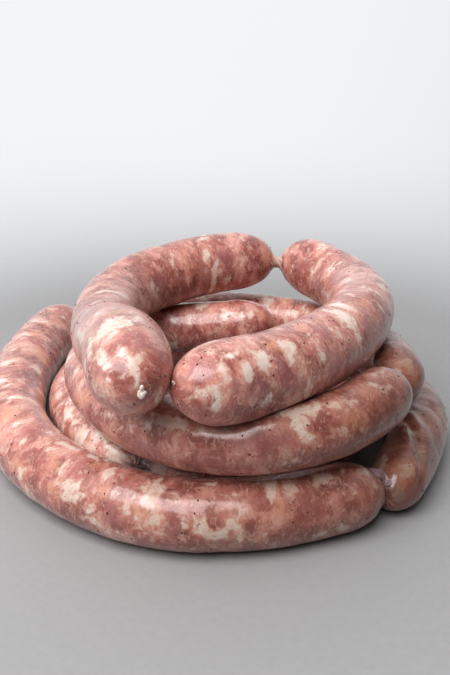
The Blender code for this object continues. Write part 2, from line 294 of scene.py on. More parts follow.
# Tied ends: link, its end, distance from the tip, the way it lies from there, size, and lobes.
# Each lobe is a direction (across, up, outwards), its reach and its sharpness.
KNOTS = {
    "top_left_knot": ("top_left_link", 1, 2.9, 170, 1.5,
                      (((-0.1, 1, 0.3), 1.7, 9), ((0.2, -0.9, 0.35), 1.0, 2.5),
                       ((-0.7, -0.1, 0.5), 0.7, 3), ((0.7, 0.1, 0.4), 0.35, 4))),
    "top_right_nub": ("top_right_link", 1, 2.8, 75, 0.68,
                      (((0.1, 0.6, 0.8), 1.4, 6), ((0, -0.5, 0.8), 0.4, 2))),
}
KNOT_ROWS = 30
KNOT_SIDES = 40
KNOT_CORE = 0.62  # radius of the ball that the lobes grow from, in sizes of the knot
KNOT_NOISE = ((0.12, 0.45, 5), (0.06, 0.2, 6))

PEPPER_AREA = 112.0  # square millimetres of casing for each speck of pepper
PEPPER_SIZE = (0.16, 0.52)
PEPPER_SHRINK = (0.6, 1.0)  # makes small specks commoner than large ones
PEPPER_STRETCH = ((0.7, 0.7, 0.45), (1.3, 1.1, 0.6))  # least and most, the last outwards
PEPPER_BREAK = 0.25  # how jagged a speck is
PEPPER_PROUD = 0.05  # how far its middle stands above the casing
PEPPER_SEED = 77
NOT_UPRIGHT = (0.01, 0.0, 0.0)  # tips an upright direction a little, so that it has a side

# Colours of lean meat, from brown to rose, and of what is mixed into it
LEAN = ((0.34, (0.310, 0.100, 0.083)), (0.45, (0.450, 0.165, 0.134)),
        (0.55, (0.590, 0.255, 0.206)), (0.68, (0.710, 0.390, 0.322)))
DARK_SHREDS = (0.300, 0.095, 0.080)
PALE_SHREDS = (0.700, 0.420, 0.340)
FLECKS = (0.760, 0.550, 0.460)
FIBRES = (0.780, 0.610, 0.530)

# Tints laid over the lean meat, lowest first: (field, where it sets in, where it is full,
# strength, colour). The fat has a soft rosy edge here, and its cream middle goes on top.
TINTS = (
    ("mauve", 0.35, 0.90, 0.65, (0.370, 0.145, 0.145)),
    ("red", 0.35, 0.90, 0.55, (0.370, 0.100, 0.075)),
    ("orange", 0.35, 1.00, 0.55, (0.700, 0.340, 0.215)),
    ("grey", 0.30, 0.80, 0.80, (0.430, 0.330, 0.310)),
    ("fat", 0.22, 0.70, 0.55, (0.720, 0.420, 0.330)),
)
CREAM = ((0.36, (0.730, 0.530, 0.420)), (0.5, (0.780, 0.640, 0.550)), (0.64, (0.800, 0.710, 0.660)))
SPICE = (0.42, 0.14, 0.06)
FILM = (0.60, 0.49, 0.47)  # of slack casing
CREST_HIGHLIGHT_COLOUR = (0.72, 0.55, 0.45)  # painted highlight along the crest beside a crease
SHADE_BROWN = (0.40, 0.27, 0.22)  # painted shade: mixed into the shaded colour of a link, which is then multiplied by the next colour
SHADE_DARKEN = (0.465, 0.380, 0.320)

# Gathered casing where it stands up and down in its pleats, then the husks of the pepper
GATHERED = (0.33, 0.22, 0.23), (0.20, 0.11, 0.12)
DRAWN = (0.66, 0.46, 0.39), (0.50, 0.31, 0.26)
CLEAR = (0.82, 0.73, 0.68), (0.70, 0.54, 0.48)
HUSK = ((0.40, (0.020, 0.012, 0.010)), (0.62, (0.10, 0.045, 0.025)))

# Camera
LENS = 38.4
SENSOR_HEIGHT = 36.0
CAMERA_TILT = 22.0  # degrees below the horizon
CAMERA_PLACE = (9.5, -350.3, 194.0)
CAMERA_CLIP = (0.01, 60.0)

# Light and floor. Their distances and sizes are in metres.
KEY_SIDE = 34.0  # degrees to the left of the camera
KEY_RISE = 57.0  # degrees above the horizon
KEY_DISTANCE = 1.3
KEY_POWER = 19.5
KEY_SIZE = (1.15, 1.0)
KEY_COLOUR = (1.0, 0.992, 1.0)
SKY_COLOUR = (0.97, 0.98, 1.0)
SKY_SIDE = (-0.45, 0.87, 0.2)  # direction of the brightest part of the backdrop
SKY_FADE = (-0.5, 0.9)  # how far off that direction it fades, as cosines
SKY_STRENGTH = (0.06, 0.78)
FLOOR_RADIUS = 8.0
FLOOR_SHADE = 0.33
FLOOR_SPECK = 0.02  # how uneven the shade of the floor is
FLOOR_FADE = (0.22, 1.7)  # distances between which the floor gives way to the backdrop


def smooth_step(low, high, value):
    share = np.clip((value - low) / (high - low), 0, 1)
    return share * share * (3 - 2 * share)


def lattice(cells, seed):
    """Give each whole-numbered cell a fixed value between -1 and 1, by mixing its bits."""
    mixed = seed * 2654435761
    for axis, prime in enumerate((73856093, 19349663, 83492791)):
        mixed = mixed ^ cells[..., axis] * prime
    mixed = (mixed ^ mixed >> 13) * 1274126177 & 0x7fffffff
    return ((mixed ^ mixed >> 15) & 0xffff) / 32767.5 - 1


def soft_noise(points, size, seed):
    """Smooth noise between -1 and 1, with features of about the given size."""
    scaled = points / size
    low = np.floor(scaled).astype(np.int64)
    share = smooth_step(0, 1, scaled - low)
    total = np.zeros(points.shape[:-1])
    for corner in np.ndindex(2, 2, 2):
        weight = np.prod(np.where(corner, share, 1 - share), axis=-1)
        total += weight * lattice(low + corner, seed)
    return total


def layered_noise(points, layers, seed):
    """Add up layers of soft noise, each with its own amount, size and offset of the seed."""
    return sum(amount * soft_noise(points, size, seed + offset) for amount, size, offset in layers)


def smooth_curve(stations, count):
    """Read count evenly spread points from the natural cubic spline through the stations."""
    steps = np.linalg.norm(np.diff(stations, axis=0), axis=1)
    knots = np.concatenate(([0.0], np.cumsum(steps)))
    size = len(stations)
    system = np.eye(size)
    target = np.zeros((size, 3))
    for row in range(1, size - 1):
        before, after = steps[row - 1], steps[row]
        system[row, row - 1:row + 2] = before, 2 * (before + after), after
        slopes = np.diff(stations[row - 1:row + 2], axis=0) / np.array([[before], [after]])
        target[row] = 6 * (slopes[1] - slopes[0])
    bend = np.linalg.solve(system, target)
    places = np.linspace(0, knots[-1], count)
    span = np.clip(np.searchsorted(knots, places, side="right") - 1, 0, size - 2)
    width = steps[span][:, None]
    ahead = (places - knots[span])[:, None]
    behind = width - ahead
    ends = bend[span] * behind ** 3 + bend[span + 1] * ahead ** 3
    first = (stations[span] / width - bend[span] * width / 6) * behind
    second = (stations[span + 1] / width - bend[span + 1] * width / 6) * ahead
    return ends / (6 * width) + first + second


def distances_along(points):
    return np.concatenate(([0.0], np.cumsum(np.linalg.norm(np.diff(points, axis=0), axis=1))))


def radius_along(radii, share):
    """Read a link's plump radius at a share of its length, from its three named radii."""
    start, middle, end = radii
    swing = 2 * share - 1
    return middle + (end - start) / 2 * swing + ((start + end) / 2 - middle) * swing ** 2


def unit(vectors):
    return vectors / np.linalg.norm(vectors, axis=-1, keepdims=True)


def side_and_top(forward):
    """Give the level and the upward direction square to each heading."""
    sideways = unit(np.cross(forward, (0.0, 0.0, 1.0)))
    return sideways, np.cross(sideways, forward)


class Link:
    """A link's centre line, its surface radius, and the spheres that fill it."""

    def __init__(self, name, route, radii):
        self.name = name
        self.radii = radii
        self.seed = list(LINKS).index(name) + 1
        places = np.array([self.place(*station) for station in route])
        fine = smooth_curve(places, CURVE_SAMPLES)
        length = distances_along(fine)
        if len(route[0]) == 2:
            fine[:, 2] = radius_along(radii, length / length[-1]) - TABLE_PRESS
        self.fill_with_spheres(fine, length)
        self.line = self.extend(fine)
        self.length = distances_along(self.line)

    @staticmethod
    def place(angle, distance, height=0.0):
        turn = math.radians(angle)
        return distance * math.cos(turn), distance * math.sin(turn), height

    def extend(self, fine):
        """Lengthen the centre line to the tips of the two rounded ends."""
        start = fine[0] + unit(fine[0] - fine[2]) * self.radii[0] * END_REACH
        end = fine[-1] + unit(fine[-1] - fine[-3]) * self.radii[2] * END_REACH
        return np.vstack((start, fine, end))

    def fill_with_spheres(self, fine, length):
        count = int(length[-1] / SPHERE_STEP)
        places = np.linspace(0, length[-1], count)
        self.centres = np.stack([np.interp(places, length, fine[:, axis]) for axis in range(3)], axis=1)
        to_end = np.minimum(places, length[-1] - places)
        pinch = (1 - END_REACH) * np.clip(1 - to_end / END_TAPER, 0, 1) ** 2
        self.spheres = radius_along(self.radii, places / length[-1]) * (1 - pinch)

    def depth(self, points):
        """Signed distance from the points to the link's surface, less than zero inside."""
        found = np.empty(len(points))
        for start in range(0, len(points), BLOCK):
            block = points[start:start + BLOCK]
            apart = np.linalg.norm(block[:, None] - self.centres[None], axis=2)
            found[start:start + BLOCK] = (apart - self.spheres).min(axis=1)
        return found

    def rings(self):
        """Give each ring's place along the line, centre, direction, radius and hub."""
        total = self.length[-1]
        ends = BLUNTNESS * self.radii[0], BLUNTNESS * self.radii[2]
        cap = 1 - np.cos(np.linspace(0, math.pi / 2, CAP_RINGS)[1:-1])
        body = np.linspace(ends[0], total - ends[1], round((total - sum(ends)) / RING_STEP))
        places = np.concatenate((cap * ends[0], body, (total - cap * ends[1])[::-1]))
        forward = unit(self.points_at(places + HEADING_REACH) - self.points_at(places - HEADING_REACH))
        plump = radius_along(self.radii, places / total)
        to_tip = np.minimum(places / ends[0], (total - places) / ends[1])
        radius = plump * np.sqrt(1 - np.clip(1 - to_tip, 0, 1) ** 2)
        hubs = self.points_at(np.clip(places, self.length[1], self.length[-2]))
        return places, self.points_at(places), forward, radius, hubs

    def points_at(self, places):
        return np.stack([np.interp(places, self.length, self.line[:, axis]) for axis in range(3)], axis=1)

    def tip(self, end):
        return self.line[-1] if end else self.line[0]

    def end_ball(self, end):
        """Give the centre and the radius of the ball that a rounded end follows."""
        if end:
            return self.line[-2], self.radii[2] * END_REACH
        return self.line[1], self.radii[0] * END_REACH


def clearance(link, near, points):
    """Compare the points' distances from their link and from the nearest other one."""
    return np.min([other.depth(points) for other in near], axis=0) - link.depth(points) - CONTACT_GAP


def press_back(link, others, hubs, points):
    """Draw each point back towards its hub until it clears every neighbour."""
    near = [other for other in others if link_distance(link, other) < NEAR]
    if not near:
        return points
    touching = np.flatnonzero(clearance(link, near, points) < 0)
    hubs = hubs[touching]
    spokes = points[touching] - hubs
    low = np.full(len(touching), MOST_PRESSED)
    high = np.ones(len(touching))
    for _ in range(BISECTIONS):
        share = (low + high) / 2
        clear = clearance(link, near, hubs + spokes * share[:, None]) >= 0
        low = np.where(clear, share, low)
        high = np.where(clear, high, share)
    pressed = points.copy()
    pressed[touching] = hubs + spokes * low[:, None]
    return pressed


def link_distance(first, second):
    """Find the clearance between two links before they are pressed together."""
    apart = np.linalg.norm(first.centres[:, None] - second.centres[None], axis=2)
    return (apart - first.spheres[:, None] - second.spheres[None]).min()


def turned(first, second):
    """The turn from one angle to another, between -180 and 180 degrees."""
    return (first - second + 180) % 360 - 180


def bump(along, around, radius, patch):
    """A soft bump over one patch: 1 at its middle and a half at its edge."""
    middle, angle, length, width = patch
    across = np.radians(turned(around, angle)) * radius / (width / 2)
    return np.exp(-EDGE_FALL * (((along - middle) / (length / 2)) ** 2 + across ** 2))


def filler_patches(link, listed):
    """Scatter patches over the part of a link that the listed ones leave free."""
    draw = np.random.default_rng(link.seed)
    total = link.length[-1]
    girth = 2 * math.pi * link.radii[1]
    made = []
    for _ in range(int(total * girth / FILLER_AREA)):
        along, around = draw.uniform(FILLER_MARGIN, total - FILLER_MARGIN), draw.uniform(0, 360)
        length, width = draw.uniform(*FILLER_LENGTHS), draw.uniform(*FILLER_WIDTHS)
        kind = FILLERS[draw.integers(len(FILLERS))]
        gaps = [math.hypot((along - patch[0]) / (patch[2] + length),
                           math.radians(turned(around, patch[1])) * link.radii[1] / (patch[3] + width))
                for _, patch in listed]
        if min(gaps) > FILLER_ROOM:
            made.append((kind, (along, around, length, width)))
    return made


def patch_fields(link, along, around, radius, flat):
    """Work out how strongly each kind of patch shows at each point."""
    listed = [(kind, patch) for kind, group in PATCHES[link.name].items() for patch in group]
    along = along + layered_noise(flat, PATCH_ALONG, link.seed)
    wander = layered_noise(flat, PATCH_AROUND, link.seed)
    around = around + np.degrees(wander / np.maximum(radius, LEAST_RADIUS))
    fields = {kind: np.zeros(along.shape) for kind in FIELDS}
    for kind, patch in listed + filler_patches(link, listed):
        field, strength = ("fat", PALE) if kind == "pale" else (kind, 1.0)
        np.maximum(fields[field], strength * bump(along, around, radius, patch), out=fields[field])
    return fields


def fold_relief(link, along, around):
    """Creases across a link, the slack casing bulging beside them, and a painted highlight along the crest
    before each.
    """
    raised = np.zeros(along.shape)
    rim = np.zeros(along.shape)
    for middle, angle, half, slant, depth, width in FOLDS.get(link.name, ()):
        turn = turned(around, angle)
        off = (along - middle - slant * turn) / width
        shown = np.exp(-(turn / half) ** 2)
        sides = sum(np.exp(-(off / FOLD_SIDES + side) ** 2) for side in (-1, 1))
        raised += depth * shown * (FOLD_SWELL * sides - np.exp(-off ** 2))
        # A painted highlight along the crest, just before the middle of the crease
        highlight_strength = min(depth / 2, 1.0) * np.exp(-((off + CREST_HIGHLIGHT_PLACE) / CREST_HIGHLIGHT_WIDTH) ** 2)
        rim = np.maximum(rim, shown * highlight_strength)
    return raised, rim


def bulge_relief(link, along, around):
    """Places where a link is plumper than its three radii make it."""
    raised = np.zeros(along.shape)
    for middle, angle, length, spread, height in BULGES.get(link.name, ()):
        raised += height * np.exp(-((along - middle) / length) ** 2 - (turned(around, angle) / spread) ** 2)
    return raised


def relief(link, along, around, flat, inner):
    """How far coarse meat and slack casing raise the surface, at places on the unrolled link."""
    wander = layered_noise(flat, WRINKLE_WANDER, link.seed)
    wave = np.sin((flat[..., 0] + wander) * 2 * math.pi / WRINKLE_STEP)
    wrinkles = WRINKLE_DEPTH * smooth_step(*WRINKLE_BEND, inner) * wave
    return layered_noise(flat, LUMPS, link.seed) + wrinkles + bulge_relief(link, along, around)


def knot_place(link, end, distance, way):
    """Find where a knot sits: the given distance from the tip, towards the given angle."""
    centre, size = link.end_ball(end)
    outward = unit(link.tip(end) - centre)
    sideways, upwards = side_and_top(outward if end else -outward)
    turn = math.radians(way)
    lean = distance / size
    heading = (outward * math.cos(lean)
               + (sideways * math.cos(turn) + upwards * math.sin(turn)) * math.sin(lean))
    return centre + heading * size, heading


def tied_ends(link, points):
    """Small radiating gathers round each end of a link, drawn in to where its casing is tied."""
    raised = np.zeros(len(points))
    tied = {(name, end): place for name, end, *place, _, _ in KNOTS.values()}
    for end in (0, 1):
        distance, way = tied.get((link.name, end), (0.0, 0.0))
        depth = GATHERS.get(link.name, PLAIN_GATHERS)[end]
        middle, outward = knot_place(link, end, distance, way)
        sideways, upwards = side_and_top(outward)
        spokes = points - middle
        reach = np.linalg.norm(spokes, axis=1)
        turn = np.arctan2(spokes @ upwards, spokes @ sideways)
        wave = np.cos(9 * turn + link.seed) + 0.6 * np.cos(5 * turn + 2.3 * link.seed + end)
        shown = np.exp(-(reach / GATHER_REACH) ** 2) * smooth_step(*GATHER_START, reach)
        raised += depth * wave * shown - TIE_DEPTH * np.exp(-(reach / TIE_REACH) ** 2)
    return raised


def ring_spokes(forward, count):
    """Give the angles round a tube, and at each ring the directions from its centre to its skin."""
    sideways, upwards = side_and_top(forward)
    turns = np.arange(count) * 2 * math.pi / count
    across = sideways[:, None] * np.cos(turns)[None, :, None]
    return turns, across + upwards[:, None] * np.sin(turns)[None, :, None]


def bend_inside(places, forward, spokes, radius):
    """How sharply a link bends towards each point: above zero on the inside of the bend."""
    curving = np.gradient(forward, places, axis=0)
    window = np.hanning(BEND_WINDOW)
    window /= window.sum()
    curving = np.stack([np.convolve(curving[:, axis], window, mode="same") for axis in range(3)], axis=1)
    return np.einsum("ri,rsi->rs", curving, spokes) * radius[:, None]


def link_surface(link, others):
    """Work out a link's two tips and its rings, with the fields that its material reads."""
    places, centres, forward, radius, hubs = link.rings()
    total = link.length[-1]
    turns, spokes = ring_spokes(forward, SIDES)
    inner = bend_inside(places, forward, spokes, radius)
    along = np.repeat(places[:, None], SIDES, axis=1)
    around = np.repeat(np.degrees(turns)[None, :], len(places), axis=0)
    girth = np.repeat(radius[:, None], SIDES, axis=1)
    flat = np.stack((along, girth * np.cos(turns), girth * np.sin(turns)), axis=2)
    offset = link.seed * np.array(SEED_OFFSET)
    flat += offset
    full = radius / radius_along(link.radii, places / total)
    folded, rim = fold_relief(link, along, around)
    uneven = relief(link, along, around, flat, inner) + folded
    raised = uneven * smooth_step(*RELIEF_START, full)[:, None]
    rims = centres[:, None] + spokes * radius[:, None, None]
    points = np.vstack((link.tip(0), rims.reshape(-1, 3), link.tip(1)))
    hubs = np.vstack((link.end_ball(0)[0], np.repeat(hubs, SIDES, axis=0), link.end_ball(1)[0]))
    raised = np.concatenate(([0.0], raised.ravel(), [0.0])) + tied_ends(link, points)
    points = points + unit(points - hubs) * raised[:, None]
    points = press_back(link, others, hubs, points)
    points[:, 2] = np.maximum(points[:, 2], 0.0)
    fields = patch_fields(link, along, around, girth, flat)
    fields["slack"] = np.maximum(smooth_step(*SLACK_BEND, inner), fields.pop("casing"))
    fields["rim"] = rim
    # Painted shade along the link, read from its start, middle and end
    fields["painted_shade"] = np.interp(along, (0, total / 2, total), SHADE_TONES.get(link.name, UNSHADED_TONE))
    for key, grid in fields.items():
        fields[key] = np.concatenate(([grid[0, 0]], grid.ravel(), [grid[-1, 0]]))
    tips = np.array([[-TIP_STEP, 0, 0], [total + TIP_STEP, 0, 0]]) + offset
    fields["place"] = np.vstack((tips[0], flat.reshape(-1, 3), tips[1]))
    return points, hubs, fields


def tube_faces(ring_count, sides):
    """Faces of a closed tube: tip, rings of points, tip."""
    last = ring_count * sides + 1
    faces = []
    for side in range(sides):
        ahead = (side + 1) % sides
        faces.append((0, 1 + ahead, 1 + side))
        faces.append((last, last - sides + side, last - sides + ahead))
    side = np.arange(sides)
    ahead = (side + 1) % sides
    for ring in range(ring_count - 1):
        base = 1 + ring * sides
        above = base + sides
        faces.extend(zip((base + side).tolist(), (base + ahead).tolist(),
                         (above + ahead).tolist(), (above + side).tolist()))
    return faces


def add_object(name, data, place=(0, 0, 0), turn=(0, 0, 0)):
    made = bpy.data.objects.new(name, data)
    bpy.context.scene.collection.objects.link(made)
    made.location = place
    made.rotation_euler = turn
    return made


def mesh_piece(name, points, faces, look, fields=None):
    """Make a piece from points in millimetres."""
    data = bpy.data.meshes.new(name)
    data.from_pydata((points * METRES).tolist(), [], faces)
    for key, values in (fields or {}).items():
        kind = "FLOAT_VECTOR" if values.ndim == 2 else "FLOAT"
        field = data.attributes.new(key, kind, "POINT")
        field.data.foreach_set("vector" if values.ndim == 2 else "value", values.astype(np.float32).ravel())
    data.shade_smooth()
    data.materials.append(look)
    made = add_object(name, data)
    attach(made, "root")
    return made


def twist_surface(first, first_end, second, second_end, rise, radius):
    """Work out a twist of casing that leaves one rounded end and arrives at the other."""
    first_centre, first_size = first.end_ball(first_end)
    second_centre, second_size = second.end_ball(second_end)
    across = unit(second_centre - first_centre)
    leave = unit(across + (0.0, 0.0, rise))
    arrive = unit((0.0, 0.0, rise) - across)
    start = first_centre + leave * (first_size - TWIST_SINK)
    end = second_centre + arrive * (second_size - TWIST_SINK)
    handle = np.linalg.norm(end - start) * TWIST_HANDLE
    share = np.linspace(0, 1, TWIST_RINGS)[:, None]
    rest = 1 - share
    centres = (rest ** 3 * start + 3 * rest ** 2 * share * (start + leave * handle)
               + 3 * rest * share ** 2 * (end + arrive * handle) + share ** 3 * end)
    turns, spokes = ring_spokes(unit(np.gradient(centres, axis=0)), TWIST_SIDES)
    from_middle = 2 * share - 1
    flare = TWIST_WAIST + TWIST_FLARE[0] * from_middle ** 2 + TWIST_FLARE[1] * from_middle ** 8
    twisted = turns[None] + TWIST_TURN * share
    pleats = sum(depth * np.cos(count * twisted + turn) for depth, count, turn in TWIST_PLEATS)
    size = radius * flare * (1 + pleats)
    rims = centres[:, None] + size[..., None] * spokes
    return np.vstack((start, rims.reshape(-1, 3), end))


def knot_surface(middle, heading, lobes, size):
    """A knobbly tuft of tied casing: a ball drawn out into lobes."""
    sideways, upwards = side_and_top(heading)
    lean = np.linspace(0, math.pi, KNOT_ROWS + 2)[1:-1, None]
    turns = np.arange(KNOT_SIDES)[None] * 2 * math.pi / KNOT_SIDES
    ball = np.stack((np.sin(lean) * np.cos(turns), np.sin(lean) * np.sin(turns),
                     -np.cos(lean) * np.ones_like(turns)), axis=2)
    ball = np.vstack(((0, 0, -1), ball.reshape(-1, 3), (0, 0, 1)))
    reach = np.full(len(ball), KNOT_CORE)
    for direction, length, sharpness in lobes:
        reach += length * np.clip(ball @ unit(np.array(direction, float)), 0, 1) ** sharpness
    reach *= 1 + layered_noise(ball, KNOT_NOISE, 0)
    shaped = ball * reach[:, None] * size
    return middle + shaped @ np.array((sideways, upwards, heading))


def pepper_specks(surfaces):
    """Ground pepper under the casing: small broken grains that stand just proud of it."""
    bpy.ops.mesh.primitive_ico_sphere_add(subdivisions=2, radius=1.0)
    pattern = bpy.context.object
    grain = np.array([vertex.co for vertex in pattern.data.vertices])
    corners = np.array([polygon.vertices for polygon in pattern.data.polygons])
    bpy.data.objects.remove(pattern)
    draw = np.random.default_rng(PEPPER_SEED)
    points, faces = [], []
    for name, (skin, hubs) in surfaces.items():
        girth = 2 * math.pi * LINKS[name][1][1]
        count = int(len(skin) / SIDES * RING_STEP * girth / PEPPER_AREA)
        for spot in draw.integers(2 * SIDES, len(skin) - 2 * SIDES, count):
            outward = unit(skin[spot] - hubs[spot])
            sideways, upwards = side_and_top(outward + NOT_UPRIGHT)
            size = draw.uniform(*PEPPER_SIZE) * draw.uniform(*PEPPER_SHRINK)
            stretch = draw.uniform(*PEPPER_STRETCH)
            broken = grain * (1 + PEPPER_BREAK * draw.uniform(-1, 1, (len(grain), 1)))
            turn = draw.uniform(0, math.pi)
            cosine, sine = math.cos(turn), math.sin(turn)
            spun = broken * size * stretch @ np.array(((cosine, sine, 0), (-sine, cosine, 0), (0, 0, 1)))
            faces.append(corners + len(grain) * len(points))
            points.append(skin[spot] + outward * PEPPER_PROUD
                          + spun @ np.array((sideways, upwards, outward)))
    points = np.vstack(points)
    points[:, 2] = np.maximum(points[:, 2], 0.0)
    return points, np.vstack(faces).tolist()


class Nodes:
    """Short calls for building the node tree of a material or of the backdrop."""

    def __init__(self, owner):
        self.owner = owner
        owner.use_nodes = True
        self.tree = owner.node_tree

    def put(self, socket, value):
        if isinstance(value, bpy.types.NodeSocket):
            self.tree.links.new(value, socket)
        elif isinstance(value, tuple) and len(value) == 3 and socket.type == "RGBA":
            socket.default_value = (*value, 1.0)
        else:
            socket.default_value = value

    def node(self, kind, inputs=(), **settings):
        made = self.tree.nodes.new("ShaderNode" + kind)
        for key, value in settings.items():
            setattr(made, key, value)
        for key, value in dict(inputs).items():
            self.put(made.inputs[key], value)
        return made

    def finish(self, shader="Principled BSDF", **values):
        """Set the shader's own sockets; an underscore in a name stands for a space."""
        for key, value in values.items():
            self.put(self.tree.nodes[shader].inputs[key.replace("_", " ")], value)
        return self.owner

    def attribute(self, name, output="Fac"):
        return self.node("Attribute", attribute_name=name).outputs[output]

    def math(self, operation, first, second=0.0):
        return self.node("Math", {0: first, 1: second}, operation=operation).outputs[0]

    def times(self, first, second):
        return self.math("MULTIPLY", first, second)

    def plus(self, first, second):
        return self.math("ADD", first, second)

    def vector(self, operation, first, second):
        return self.node("VectorMath", {0: first, 1: second}, operation=operation).outputs[0]

    def scaled(self, place, factors):
        return self.vector("MULTIPLY", place, factors)

    def millimetres(self):
        """The place on the object, in millimetres."""
        return self.scaled(self.node("TexCoord").outputs["Object"], (1 / METRES,) * 3)

    def step(self, low, high, value):
        """Rise smoothly from 0 at low to 1 at high, or fall where high is the lower one."""
        made = self.node("MapRange", {0: value, 1: low, 2: high}, interpolation_type="SMOOTHSTEP")
        return made.outputs[0]

    def between(self, least, most, share):
        return self.node("MapRange", {0: share, 3: least, 4: most}).outputs[0]

    def bump(self, strength, distance, height):
        made = self.node("Bump", {"Strength": strength, "Distance": distance, "Height": height})
        return made.outputs[0]

    def mix(self, share, first, second, blend="MIX"):
        made = self.node("Mix", {0: share, 6: first, 7: second}, data_type="RGBA", blend_type=blend)
        return made.outputs[2]

    def noise(self, place, size, detail=2.0, rough=0.5, output=0):
        """Noise with features of about the given size. Its output 0 is a number, 1 a vector."""
        inputs = {"Vector": place, "Scale": 1 / size, "Detail": detail, "Roughness": rough}
        return self.node("TexNoise", inputs).outputs[output]

    def spread(self, place, size, amount, detail=2.0):
        """Noise about zero, between plus and minus the amount."""
        return self.times(self.math("SUBTRACT", self.noise(place, size, detail), 0.5), 2 * amount)

    def cells(self, place, size, output="Color", feature="F1"):
        made = self.node("TexVoronoi", {"Vector": place, "Scale": 1 / size}, feature=feature)
        return made.outputs[output]

    def ramp(self, share, stops):
        made = self.node("ValToRGB", {0: share})
        band = made.color_ramp
        while len(band.elements) < len(stops):
            band.elements.new(0.5)
        for element, (where, colour) in zip(band.elements, stops):
            element.position = where
            element.color = (*colour, 1.0)
        return made.outputs[0]


def lean_meat(made, place, warped):
    """Minced lean meat: soft lumps from brown to rose, with pale flecks and thin fibres."""
    lumps = made.times(made.cells(warped, 8.0, "Color", "SMOOTH_F1"), 0.5)
    lumps = made.plus(lumps, made.times(made.noise(warped, 9.0, 4.0, 0.6), 0.5))
    lean = made.ramp(lumps, LEAN)
    shreds = made.noise(made.scaled(warped, (2.0, 1.0, 1.0)), 4.0, 3.0, 0.6)
    lean = made.mix(made.times(made.step(0.53, 0.64, shreds), 0.45), lean, DARK_SHREDS)
    lean = made.mix(made.times(made.step(0.47, 0.34, shreds), 0.45), lean, PALE_SHREDS)
    flecks = made.noise(warped, 2.4, 2.0, 0.5)
    lean = made.mix(made.times(made.step(0.56, 0.70, flecks), 0.50), lean, FLECKS)
    fibre = made.math("ABSOLUTE", made.spread(warped, 5.2, 1.0, 2.0))
    gate = made.step(0.44, 0.58, made.noise(place, 11.0))
    thread = made.times(made.step(0.040, 0.010, fibre), gate)
    return made.mix(made.times(thread, 0.20), lean, FIBRES)


def tinted_meat(made, place, warped, lean):
    """Lay the tinted patches and the fat over the lean meat, with ragged edges."""
    ragged = made.plus(made.spread(warped, 4.6, 0.80, 4.0), made.spread(place, 1.4, 0.22, 3.0))

    def patch(name, low, high, strength):
        field = made.plus(made.attribute(name), ragged)
        return made.times(made.step(low, high, field), strength)

    colour = lean
    for name, low, high, strength, tint in TINTS:
        colour = made.mix(patch(name, low, high, strength), colour, tint)
    cream = made.ramp(made.noise(warped, 5.0, 4.0, 0.6), CREAM)
    return made.mix(patch("fat", 0.46, 0.84, 0.90), colour, cream)


def grained(made, place, colour):
    """Add the fine grain of the mince and small spots of spice."""
    grain = made.noise(place, 0.9, 4.0, 0.7)
    shade = made.ramp(grain, ((0.3, (0.30,) * 3), (0.7, (0.70,) * 3)))
    colour = made.mix(0.42, colour, shade, "OVERLAY")
    dots = made.step(0.19, 0.11, made.cells(place, 1.8, "Distance"))
    dusty = made.step(0.46, 0.60, made.noise(place, 12.0, 1.0))
    return made.mix(made.times(made.times(dots, dusty), 0.75), colour, SPICE)


def meat_look():
    """Coarse raw meat and fat seen through a thin, moist casing."""
    made = Nodes(bpy.data.materials.new("sausage_meat"))
    place = made.attribute("place", "Vector")
    squeezed = made.scaled(place, (1.35, 1.0, 1.0))
    bent = made.vector("SUBTRACT", made.noise(squeezed, 7.0, 2.0, 0.5, 1), (0.5, 0.5, 0.5))
    warped = made.vector("ADD", squeezed, made.scaled(bent, (9.0, 9.0, 9.0)))
    colour = tinted_meat(made, place, warped, lean_meat(made, place, warped))
    colour = grained(made, place, colour)
    slack = made.attribute("slack")
    strands = made.noise(made.scaled(place, (1.0, 0.16, 0.16)), 1.5, 3.0, 0.6)
    film = made.times(made.plus(made.step(0.40, 0.62, strands), 0.35), slack)
    colour = made.mix(made.times(film, 0.34), colour, FILM)
    # Painted highlight along the crests beside the creases
    colour = made.mix(made.times(made.attribute("rim"), 0.70), colour, CREST_HIGHLIGHT_COLOUR)
    # Painted shade: links and ends away from the lamp are painted darker and browner
    dark = made.mix(1.0, made.mix(0.25, colour, SHADE_BROWN), SHADE_DARKEN, "MULTIPLY")
    colour = made.mix(made.attribute("painted_shade"), colour, dark)
    wet = made.noise(place, 5.0, 3.0)
    uneven = made.plus(made.times(made.noise(place, 1.0, 3.0), 0.55), made.noise(place, 3.2, 2.0))
    uneven = made.plus(uneven, made.times(made.times(strands, slack), 0.7))
    return made.finish(
        Base_Color=colour, Roughness=made.between(0.42, 0.60, wet),
        Normal=made.bump(0.6, 0.00025, uneven),
        Subsurface_Weight=0.12, Subsurface_Radius=(1.0, 0.4, 0.25), Subsurface_Scale=0.0035,
        Specular_IOR_Level=0.3, Coat_Weight=1.0, Coat_Roughness=0.19, Coat_IOR=1.50,
        Sheen_Weight=0.10, Sheen_Roughness=0.35)


def casing_look(name, pale, deep):
    """Moist casing gathered into pleats, between a pale and a deep colour."""
    made = Nodes(bpy.data.materials.new(name))
    place = made.millimetres()
    gathers = made.noise(place, 1.1, 4.0, 0.6)
    return made.finish(
        Base_Color=made.ramp(gathers, ((0.35, deep), (0.62, pale))),
        Roughness=made.between(0.25, 0.45, gathers),
        Normal=made.bump(0.7, 0.0003, made.noise(place, 0.7, 3.0)),
        Subsurface_Weight=0.3, Subsurface_Radius=(1.0, 0.7, 0.6), Subsurface_Scale=0.002,
        Coat_Weight=0.6, Coat_Roughness=0.2, Coat_IOR=1.4)


def pepper_look():
    """Black and brown ground pepper."""
    made = Nodes(bpy.data.materials.new("ground_pepper"))
    place = made.millimetres()
    return made.finish(
        Base_Color=made.ramp(made.noise(place, 1.6, 2.0), HUSK), Roughness=0.6,
        Normal=made.bump(0.5, 0.0001, made.noise(place, 0.25, 2.0)), Coat_Weight=0.25)


